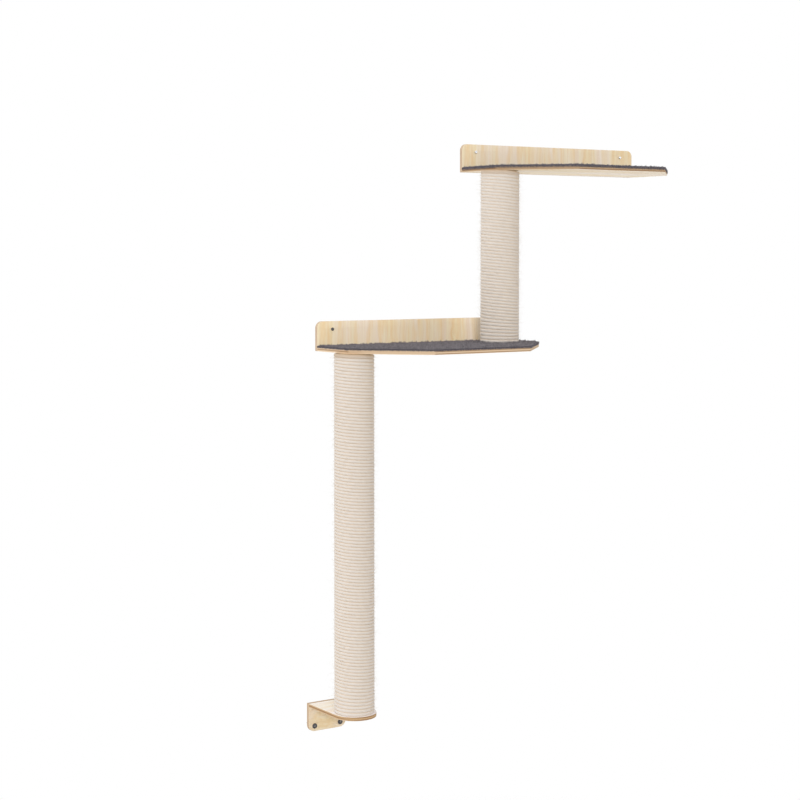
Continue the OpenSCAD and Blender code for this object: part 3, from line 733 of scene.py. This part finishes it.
def sisal_rope(name, length, turns, slant, axis, wobble, filled, material):
    """The wound rope as one closed skin, with its own layout for baked colours."""
    route, outward, run, above, below = rope_route(length, turns, slant)
    skin, place = rope_surface(route, outward, run, above, below, axis, wobble, filled)
    rings, sides = skin.shape[:2]
    i, k = np.meshgrid(np.arange(rings - 1), np.arange(sides), indexing="ij")
    n = (k + 1) % sides
    quads = np.stack([i * sides + k, (i + 1) * sides + k, (i + 1) * sides + n, i * sides + n], -1)
    faces = quads.reshape(-1, 4).tolist()
    faces += [list(range(sides)), list(range((rings - 1) * sides, rings * sides))[::-1]]
    mesh = bpy.data.meshes.new(name)
    mesh.from_pydata(skin.reshape(-1, 3).tolist(), [], faces)
    mesh.attributes.new("strand_place", "FLOAT_VECTOR", "POINT").data.foreach_set("vector", place.ravel())
    mesh.attributes.new("groove", "FLOAT", "POINT").data.foreach_set("value", np.tile(groove_share, rings))
    # Painted shade: the turns in the last few millimetres under the shelf are marked to be darkened.
    painted_top_shade = np.clip((skin[:, :, 2] - axis[2] - length + painted_top_shade_h) / painted_top_shade_h, 0, 1)
    mesh.attributes.new("painted_top_shade", "FLOAT", "POINT").data.foreach_set("value", painted_top_shade.ravel())
    rows = math.ceil((rings - 1) / rope_steps_a_row) + 1
    row = i // rope_steps_a_row
    left = (i % rope_steps_a_row) / rope_steps_a_row
    right = left + 1 / rope_steps_a_row
    low = (row + 0.06 + 0.88 * k / sides) / rows
    high = (row + 0.06 + 0.88 * (k + 1) / sides) / rows
    corners = np.stack([left, low, right, low, right, high, left, high], -1).reshape(-1)
    spare = (rows - 0.5) / rows
    cap_r = 0.3 / rows
    for end in (0.1, 0.3):
        for turn in section_turn:
            corners = np.append(corners, [end + cap_r * math.cos(turn), spare + cap_r * math.sin(turn)])
    mesh.attributes.new("OFBake", "FLOAT2", "CORNER").data.foreach_set("vector", corners)
    mesh.shade_smooth()
    mesh.materials.append(material)
    rope = bpy.data.objects.new(name, mesh)
    scene.collection.objects.link(rope)
    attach(rope, "root")
    return rope


sisal, tree = blank_material("natural_sisal")
pale_sisal, mid_sisal = (0.77, 0.715, 0.665, 1), (0.675, 0.61, 0.55, 1)
yarn_shade, batch_shade = (0.58, 0.50, 0.41, 1), (0.70, 0.62, 0.52, 1)
# Both colours on the next line are painted shade: in the grooves between turns, and on the top turns under
# the shelf.
painted_groove_shade_color, painted_top_shade_color = (0.83, 0.68, 0.51, 1), (0.52, 0.38, 0.25, 1)
strand = shade(tree, "Attribute", {"attribute_name": "strand_place"}, (), "Vector")
hairs = stretched_noise(tree, strand, 1500, 1500, 75, 3, 0.65)
yarns = stretched_noise(tree, strand, 420, 420, 30, 2, 0.5)
batches = stretched_noise(tree, strand, 0, 0, 2.1, 2, 0.5)
sisal_color = mixed(tree, spread(tree, hairs, 0.32, 0.68), pale_sisal, mid_sisal)
sisal_color = mixed(tree, spread(tree, yarns, 0.5, 0.75, 0, 0.16), sisal_color, yarn_shade)
sisal_color = mixed(tree, spread(tree, batches, 0.35, 0.7, 0, 0.08), sisal_color, batch_shade)
# Painted shade in the grooves: the points of the section that lie between turns are mixed towards a darker
# tan.
groove = shade(tree, "Attribute", {"attribute_name": "groove"}, (), "Fac")
sisal_color = mixed(tree, spread(tree, groove, 0.3, 1.0, 0, 0.7), sisal_color, painted_groove_shade_color)
# Painted shade under the shelf: the marked top turns are mixed towards a dark tan.
painted_top_shade = shade(tree, "Attribute", {"attribute_name": "painted_top_shade"}, (), "Fac")
sisal_color = mixed(tree, calc(tree, "MULTIPLY", painted_top_shade, 0.95), sisal_color, painted_top_shade_color)
coarse = calc(tree, "ADD", hairs, calc(tree, "MULTIPLY", yarns, 1.2))
principled(tree, {
    "Base Color": sisal_color,
    "Roughness": spread(tree, hairs, 0.3, 0.7, 0.72, 0.88),
    "Normal": shade(tree, "Bump", (), {"Strength": 0.4, "Distance": 0.0003, "Height": coarse}),
    "Specular IOR Level": 0.25,
    "Sheen Weight": 0.15,
    "Sheen Roughness": 0.5,
})

lower_axis = (0, post_y, plate_half_h)
lower_l = 0.8
lower_turns = 111
lower_slant = 0.0022
lower_rope = sisal_rope("lower_post_sisal", lower_l, lower_turns, lower_slant, lower_axis, 0.7, 0.0, sisal)
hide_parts("lower_post_rope")

fibre_joints = 3
fibre_sides = 3
fibre_r = 0.00011
fibre_taper = 0.75
shortest_fibre, longest_fibre = 0.003, 0.017


def loose_fibres(name, length, turns, slant, axis, count, seed, material):
    """Stray fibres rooted in the rope, each a thin curved hair of three sides."""
    chance = np.random.default_rng(seed)
    route, outward, _, _, _ = rope_route(length, turns, slant)
    pick = chance.integers(20, len(route) - 20, count)
    lean = chance.uniform(-1.1, 1.1, count)
    along = np.cross(outward[pick], [0, 0, 1.0])
    up = np.zeros((count, 3))
    up[:, 2] = 1
    root_out = outward[pick] * np.cos(lean)[:, None] + up * np.sin(lean)[:, None]
    root = route[pick] + root_out * rope_r * 0.85
    grow = chance.gamma(3.0, 0.0031, count).clip(shortest_fibre, longest_fibre)
    go = outward[pick] * chance.uniform(0.6, 1.2, (count, 1)) + along * chance.normal(0, 0.8, (count, 1))
    go += up * chance.normal(0.05, 0.45, (count, 1))
    go /= np.linalg.norm(go, axis=1)[:, None]
    curl = np.cross(go, chance.normal(0, 1, (count, 3)))
    curl /= np.linalg.norm(curl, axis=1)[:, None]
    side = np.cross(go, curl)
    bow = chance.uniform(-0.5, 0.5, (count, 1))
    wave = chance.uniform(-0.12, 0.12, (count, 1))
    points = []
    for j in range(fibre_joints + 1):
        s = j / fibre_joints
        reach = go * s + curl * bow * s * s + side * wave * math.sin(3 * math.pi * s)
        middle = root + grow[:, None] * reach
        thin = fibre_r * (1 - fibre_taper * s)
        for k in range(fibre_sides):
            a = 2 * math.pi * k / fibre_sides
            points.append(middle + (curl * math.cos(a) + side * math.sin(a)) * thin)
    points = np.stack(points, 1) + np.array(axis)
    per = points.shape[1]
    one = []
    cells = []
    for j in range(fibre_joints):
        for k in range(fibre_sides):
            n = (k + 1) % fibre_sides
            low, high = j * fibre_sides, (j + 1) * fibre_sides
            one.append((low + k, low + n, high + n, high + k))
            cells.append([(k, j), (k + 0.9, j), (k + 0.9, j + 1), (k, j + 1)])
    ends = [(2, 1, 0), (per - 3, per - 2, per - 1)]
    faces = [tuple(c + h * per for c in face) for h in range(count) for face in one + ends]
    grid = math.ceil(math.sqrt(count))
    end_cells = [(0, 3.1), (0.9, 3.1), (0, 3.6), (1, 3.1), (1.9, 3.1), (1, 3.6)]
    cell = np.array([p for quad in cells for p in quad] + end_cells)
    cell = cell / (3.2, 3.9) * 0.94 + 0.03
    corner = np.stack([np.arange(count) % grid, np.arange(count) // grid], 1)
    layout_points = (corner[:, None, :] + cell[None]) / grid
    mesh = bpy.data.meshes.new(name)
    mesh.from_pydata(points.reshape(-1, 3).tolist(), [], faces)
    mesh.attributes.new("OFBake", "FLOAT2", "CORNER").data.foreach_set("vector", layout_points.ravel())
    tone = np.repeat(chance.uniform(0, 1, count), per)
    mesh.attributes.new("tone", "FLOAT", "POINT").data.foreach_set("value", tone)
    mesh.shade_smooth()
    mesh.materials.append(material)
    fuzz = bpy.data.objects.new(name, mesh)
    scene.collection.objects.link(fuzz)
    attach(fuzz, "root")


stray, tree = blank_material("stray_sisal_fibre")
tone = shade(tree, "Attribute", {"attribute_name": "tone"}, (), "Fac")
flecks = stretched_noise(tree, shade(tree, "TexCoord", (), (), "Object"), 700, 700, 700, 2, 0.5)
stray_tone = calc(tree, "ADD", calc(tree, "MULTIPLY", tone, 0.7), calc(tree, "MULTIPLY", flecks, 0.3))
principled(tree, {
    "Base Color": mixed(tree, stray_tone, (0.78, 0.69, 0.57, 1), (0.62, 0.51, 0.38, 1)),
    "Roughness": spread(tree, flecks, 0.3, 0.7, 0.55, 0.75),
    "Specular IOR Level": 0.3,
})
loose_fibres("lower_post_loose_fibres", lower_l, lower_turns, lower_slant, lower_axis, 4200, 11, stray)

# Middle shelf boards
# A level 9 mm plywood panel with two cut front corners, and an upright backboard behind it whose
# top corners are rounded. Four joint screws and two dark wall screws hold them.
shelf_l = 0.53
shelf_front = -0.282
cut_w = 0.134
cut_start = -0.142
middle_x = -0.025
middle_z = 0.8325
backboard_h = 0.067
screw_rise = 0.049
wall_screw_places = (0.04, shelf_l - 0.04)
joint_places = [shelf_l * (k + 0.5) / 4 for k in range(4)]
# Painted light: the shelf panels' faces are tinted paler and bluer than the backboards, so that their
# undersides look lit from below.
painted_light_panel_tint = (1.11, 1.15, 1.27)


def shelf_outline(x, corner=0.0012):
    """The shelf seen from above, its left end at x and its back on the backboard."""
    end = x + shelf_l
    return rounded_outline([
        (x, -board_t, corner / 2), (x, cut_start, corner), (x + cut_w, shelf_front, corner),
        (end - cut_w, shelf_front, corner), (end, cut_start, corner), (end, -board_t, corner / 2),
    ])


def shelf_boards(stem, x, z, bolts, face_tint, edge_tint):
    """A shelf's panel and backboard, with their holes, in place of the CAD boards."""
    wood = plywood("plywood_of_" + stem + "_panel", "X", "Y", "Z", (x - 0.7, 0.35, z), 1, painted_light_panel_tint,
                   edge_tint)
    holes = [round_hole(b, post_y, bolt_hole) for b in bolts]
    panel = plywood_board(stem + "_panel_board", shelf_outline(x), holes, level_at(z), wood)
    upright_wood = plywood("plywood_of_" + stem + "_backboard", "Z", "X", "Y", (x, 0, z), -1,
                           face_tint, figure=0.44, knot=(0.033, 0.375, 0.009))
    outline = rounded_outline([
        (x, z, edge_round), (x + shelf_l, z, edge_round),
        (x + shelf_l, z + backboard_h, big_corner_r), (x, z + backboard_h, big_corner_r),
    ])
    holes = [round_hole(x + a, z + screw_rise, wall_hole) for a in wall_screw_places]
    holes += [round_hole(x + a, z + board_t / 2, joint_hole_down) for a in joint_places]
    board = plywood_board(stem + "_backboard_board", outline, holes, upright, upright_wood)
    for piece, node in ((panel, "_panel"), (board, "_backboard")):
        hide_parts(stem + node)
        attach(piece, "root")


upper_x = 0.402
shelf_boards("middle_shelf", middle_x, middle_z, [0, upper_x], (0.975, 0.98, 1.0), (0.99, 0.95, 0.90))
finished(["middle_shelf_joint_screws"], zinc_finish)
small_head_d = 0.007
middle_places = [(middle_x + a, middle_z + screw_rise) for a in wall_screw_places]
middle_screws = pan_screws("middle_shelf_pan_screws", middle_places, small_head_d, black_finish)
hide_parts("middle_shelf_wall_screws")

# Middle shelf carpet
# Dark grey short-pile carpet glued on the panel, cut to its outline. The pile leans out and hangs
# a little over the cut edge. It is pressed flat under the upper post's foot and stands up round it.
carpet_t = 0.004
backing_t = 0.0024
tuft_pitch = 0.00176
tuft_r = 0.00092
tuft_root = 0.0004
pile_h = 0.0018
long_share = 0.06
edge_lean = 0.0014
clump_size = 0.0046
clump_height = 0.0038
tone_size = 0.0041
edge_band_w = 0.0035
foot_r = 0.0458
foot_ring_r = 0.0475
foot_ring_w = 0.003
foot_ring_h = 0.0056
rim_pitch = 0.00125
rim_rows = ((0.0005, 0.0015, -0.0034), (0.0012, 0.0021, -0.0016), (0.0020, 0.0020, 0.0002))


def tufts(points, axes, radius, turn):
    """Corners of three-sided tufts, from their roots and the vectors to their tips."""
    go = axes / np.linalg.norm(axes, axis=1)[:, None]
    first = np.cross(go, np.stack([np.cos(turn), np.sin(turn), 0.31 * np.ones(len(turn))], 1))
    first /= np.linalg.norm(first, axis=1)[:, None]
    second = np.cross(go, first)
    corners = []
    for k in range(3):
        a = 2 * math.pi * k / 3
        corners.append(points + (first * math.cos(a) + second * math.sin(a)) * radius[:, None])
    corners.append(points + axes)
    return np.stack(corners, 1)


def carpet(stem, x, z, feet, seed, droop, nap, backing_material, pile_material):
    """A backing slab, and its pile as a piece of its own.

    droop is how much lower the pile at the edge hangs, and nap is the share of its full height.
    """
    chance = np.random.default_rng(seed)
    outline = shelf_outline(x)
    end = x + shelf_l
    starts = np.array([(x, -board_t), (x, cut_start), (x + cut_w, shelf_front), (end - cut_w, shelf_front),
                       (end, cut_start), (end, -board_t)])
    runs = np.roll(starts, -1, 0) - starts
    lengths = np.linalg.norm(runs, axis=1)
    inward = np.stack([-runs[:, 1], runs[:, 0]], 1) / lengths[:, None]
    a, b = np.meshgrid(np.arange(x, end, tuft_pitch), np.arange(shelf_front, -board_t, tuft_pitch * 0.9))
    a[::2] += tuft_pitch / 2
    spots = np.stack([a.ravel(), b.ravel()], 1) + chance.uniform(-0.00045, 0.00045, (a.size, 2))
    apart = np.stack([(spots - starts[e]) @ inward[e] for e in range(6)], 1)
    keep = (apart[:, :5].min(1) > 0.0003) & (apart[:, 5] > 0.0006)
    spots, apart = spots[keep], apart[keep]
    count = len(spots)
    nearest = apart[:, :5].argmin(1)
    to_edge = apart[:, :5].min(1)
    # over grows towards the cut edge: there the pile is shorter, leans out and is coloured darker.
    over = np.clip(1 - to_edge / edge_band_w, 0, 1)
    tall = chance.normal(pile_h, 0.0003, count).clip(0.0010, 0.0028) - 0.0006 * over
    lean = chance.normal(0, 0.00055, (count, 2)) - inward[nearest] * (over * edge_lean)[:, None]
    lean[:, 1] -= 0.0003
    long_tuft = chance.uniform(0, 1, count) < long_share
    tall += long_tuft * chance.uniform(0.0006, 0.0016, count)
    rise = chance.uniform(0, 1, (256, 256))
    cell, part = np.divmod((spots - (x, -0.3)) / clump_size, 1)
    cell = cell.astype(int)
    part = part * part * (3 - 2 * part)
    corners = [rise[cell[:, 0] + i, cell[:, 1] + k] * np.abs(1 - i - part[:, 0]) * np.abs(1 - k - part[:, 1])
               for i in (0, 1) for k in (0, 1)]
    tall = (tall + np.clip(sum(corners) * 1.12, 0, 1) ** 6 * clump_height) * nap
    shade_cell = np.floor((spots - (x, -0.3)) / tone_size).astype(int)
    clump_tone = chance.uniform(0, 1, (256, 256))[shade_cell[:, 0], shade_cell[:, 1]]
    for foot in feet:
        away = np.linalg.norm(spots - foot, axis=1)
        pressed = away < foot_r
        tall[pressed] = carpet_t - backing_t + 0.0001
        lean[pressed] = 0
        near = np.clip(1 - np.abs(away - foot_ring_r) / foot_ring_w, 0, 1)
        tall += near * foot_ring_h
        lean += (spots - foot) / away[:, None] * (near * 0.0004)[:, None]
    roots = np.column_stack([spots, np.full(count, z + board_t + backing_t - tuft_root)])
    axes = np.column_stack([lean, tall + tuft_root])
    radius = chance.uniform(0.85, 1.15, count) * tuft_r * (1 + 0.35 * long_tuft)
    rims, rim_axes = [], []
    for e in range(5):
        for level, out, fall in rim_rows:
            steps = int(lengths[e] / rim_pitch)
            along = (np.arange(steps) + chance.uniform(0.1, 0.9, steps)) / steps
            spot = starts[e] + runs[e] * along[:, None] + inward[e] * 0.0003
            push = out * chance.uniform(0.7, 1.15, steps)
            rims.append(np.column_stack([spot, np.full(steps, z + board_t + level)]))
            axis = -inward[e] * push[:, None] + runs[e] / lengths[e] * chance.normal(0, 0.0005, (steps, 1))
            rim_axes.append(np.column_stack([axis, fall - droop + chance.normal(0, 0.0004, steps)]))
    rims, rim_axes = np.vstack(rims), np.vstack(rim_axes)
    roots, axes = np.vstack([roots, rims]), np.vstack([axes, rim_axes])
    radius = np.append(radius, chance.uniform(0.75, 1.05, len(rims)) * tuft_r)
    total = len(roots)
    corners = tufts(roots, axes, radius, chance.uniform(0, 6.28, total))
    pattern = np.array([(0, 1, 3), (1, 2, 3), (2, 0, 3), (2, 1, 0)])
    faces = (np.arange(total)[:, None, None] * 4 + pattern[None]).reshape(-1, 3)
    mesh = bpy.data.meshes.new(stem + "_pile")
    mesh.from_pydata(corners.reshape(-1, 3).tolist(), [], faces.tolist())
    tone = chance.uniform(0, 1, total)
    tone[:count] = tone[:count] * 0.5 + clump_tone * 0.5
    tone = np.repeat(tone, 4)
    # tip is 1 at a tuft's tip and 0 at its root, for the painted shade deep in the pile.
    tip = np.tile([0.0, 0.0, 0.0, 1.0], total)
    rim = np.repeat(np.append(over * 0.8, np.ones(len(rims))), 4)
    mark = np.stack([tone, tip, rim], 1)
    mesh.attributes.new("tuft", "FLOAT_VECTOR", "POINT").data.foreach_set("vector", mark.ravel())
    grid = math.ceil(math.sqrt(total))
    cell = np.array([(0.05, 0.05), (0.45, 0.05), (0.25, 0.45), (0.5, 0.05), (0.9, 0.05), (0.7, 0.45),
                     (0.05, 0.5), (0.45, 0.5), (0.25, 0.9), (0.5, 0.5), (0.9, 0.5), (0.7, 0.9)])
    corner = np.stack([np.arange(total) % grid, np.arange(total) // grid], 1)
    layout_points = (corner[:, None, :] + cell[None]) / grid
    mesh.attributes.new("OFBake", "FLOAT2", "CORNER").data.foreach_set("vector", layout_points.ravel())
    mesh.materials.append(pile_material)
    pile = bpy.data.objects.new(stem + "_pile", mesh)
    scene.collection.objects.link(pile)
    body = bmesh.new()
    rings = []
    for inset, h in ((0.0001, 0), (0, backing_t * 0.5), (0.0003, backing_t * 0.92), (0.0008, backing_t)):
        rings.append([body.verts.new((p, q, z + board_t + h)) for p, q in drawn_in(outline, inset)])
    for lower, upper in zip(rings, rings[1:]):
        for k in range(len(lower)):
            n = (k + 1) % len(lower)
            body.faces.new((lower[k], lower[n], upper[n], upper[k]))
    body.faces.new(rings[-1])
    body.faces.new(rings[0][::-1])
    backing = bpy.data.objects.new(stem + "_carpet_backing", bpy.data.meshes.new(stem + "_carpet_backing"))
    body.to_mesh(backing.data)
    body.free()
    backing.data.materials.append(backing_material)
    scene.collection.objects.link(backing)
    for piece in (pile, backing):
        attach(piece, "root")
    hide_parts(stem + "_carpet")


pile_finish, tree = blank_material("grey_carpet_pile")
mark = split_up(tree, shade(tree, "Attribute", {"attribute_name": "tuft"}, (), "Vector"))
tone, tip, rim = mark["X"], mark["Y"], mark["Z"]
dark_yarn, light_yarn, fleck_yarn = (0.215, 0.199, 0.214, 1), (0.365, 0.338, 0.358, 1), (0.40, 0.38, 0.39, 1)
clouds = stretched_noise(tree, shade(tree, "TexCoord", (), (), "Object"), 45, 45, 45, 3, 0.6)
yarn = mixed(tree, spread(tree, tone, 0.2, 0.8), dark_yarn, light_yarn)
yarn = mixed(tree, spread(tree, tone, 0.9, 0.95, 0, 0.6), yarn, fleck_yarn)
yarn = mixed(tree, spread(tree, clouds, 0.35, 0.65, 0, 0.3), yarn, (0.16, 0.148, 0.162, 1))
# Painted shade: each tuft darkens towards its root, where the pile shades itself.
yarn = mixed(tree, spread(tree, tip, 0, 0.9, 0.5, 0), yarn, (0.06, 0.055, 0.065, 1))
# Tufts along the cut edge, and those hanging over it, are mixed towards a dark blue-grey.
yarn = mixed(tree, calc(tree, "MULTIPLY", rim, 0.56), yarn, (0.085, 0.08, 0.105, 1))
principled(tree, {
    "Base Color": yarn,
    "Roughness": spread(tree, clouds, 0.3, 0.7, 0.85, 0.97),
    "Specular IOR Level": 0.15,
    "Sheen Weight": 0.12,
    "Sheen Roughness": 0.4,
})

backing_finish, tree = blank_material("grey_carpet_backing")
felt = stretched_noise(tree, shade(tree, "TexCoord", (), (), "Object"), 900, 900, 900, 3, 0.7)
principled(tree, {
    "Base Color": mixed(tree, spread(tree, felt, 0.3, 0.7), (0.075, 0.07, 0.08, 1), (0.12, 0.112, 0.125, 1)),
    "Roughness": spread(tree, felt, 0.3, 0.7, 0.85, 0.97),
    "Normal": shade(tree, "Bump", (), {"Strength": 0.5, "Distance": 0.0004, "Height": felt}),
    "Specular IOR Level": 0.15,
})
feet = [np.array((upper_x, post_y))]
carpet("middle_shelf", middle_x, middle_z, feet, 5, -0.0010, 1.0, backing_finish, pile_finish)

# Upper post
# The same post, half as long. It stands on the middle shelf's carpet and is bolted up through
# that shelf and down through the top one.
finished(["upper_post_tube"], card)
finished(["upper_post_bottom_plug", "upper_post_top_plug"], turned_wood)
finished(["upper_post_bottom_bolt", "upper_post_bottom_washer", "upper_post_plug_pins",
          "upper_post_tee_nuts", "upper_post_top_bolt"], zinc_finish)
upper_axis = (upper_x, post_y, middle_z + board_t + carpet_t)
upper_l = 0.4
upper_turns = 55
upper_slant = 0.0030
upper_rope = sisal_rope("upper_post_sisal", upper_l, upper_turns, upper_slant, upper_axis, 4.2, 0.28, sisal)
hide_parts("upper_post_rope")
loose_fibres("upper_post_loose_fibres", upper_l, upper_turns, upper_slant, upper_axis, 3600, 29, stray)

# Top shelf
# A second shelf like the middle one, of the same plywood and carpet. It is bolted on top of the
# upper post, and two bright zinc-plated screws hold it to the wall.
top_x = 0.377
top_z = 1.2455
shelf_boards("top_shelf", top_x, top_z, [upper_x], (0.95, 0.96, 1.0), (0.70, 0.61, 0.51))
finished(["top_shelf_joint_screws"], zinc_finish)
bright_finish = scuffed_metal("bright_screw", (0.80, 0.82, 0.85), (0.70, 0.72, 0.75), 0.22, 1.0)
top_places = [(top_x + a, top_z + screw_rise) for a in wall_screw_places]
top_screws = pan_screws("top_shelf_pan_screws", top_places, small_head_d, bright_finish)
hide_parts("top_shelf_wall_screws")
carpet("top_shelf", top_x, top_z, [], 8, 0.0021, 0.7, backing_finish, pile_finish)

# Floor
# A pale disc that stands in for the studio's floor and fades into the white room towards its rim.
# It lies below what the photograph shows.
floor_middle = (0.43, -0.15, -0.6)
floor_r = 1.25
floor_mesh = bmesh.new()
bmesh.ops.create_circle(floor_mesh, cap_ends=True, segments=96, radius=floor_r)
bmesh.ops.translate(floor_mesh, verts=floor_mesh.verts, vec=floor_middle)
floor = bpy.data.objects.new("floor", bpy.data.meshes.new("floor"))
floor_mesh.to_mesh(floor.data)
floor_mesh.free()
scene.collection.objects.link(floor)
pale, tree = blank_material("pale_floor")
place = shade(tree, "TexCoord", (), (), "Object")
from_middle = shade(tree, "VectorMath", {"operation": "DISTANCE"}, {0: place, 1: floor_middle}, "Value")
principled(tree, {
    "Base Color": (0.93, 0.93, 0.93, 1),
    "Roughness": 0.9,
    "Specular IOR Level": 0.0,
    "Alpha": spread(tree, from_middle, floor_r * 0.35, floor_r * 0.98, 1, 0),
    "Emission Color": (1, 1, 1, 1),
    "Emission Strength": calc(tree, "MULTIPLY", seen_as_drawn(tree), 0.06),
})
floor.data.materials.append(pale)
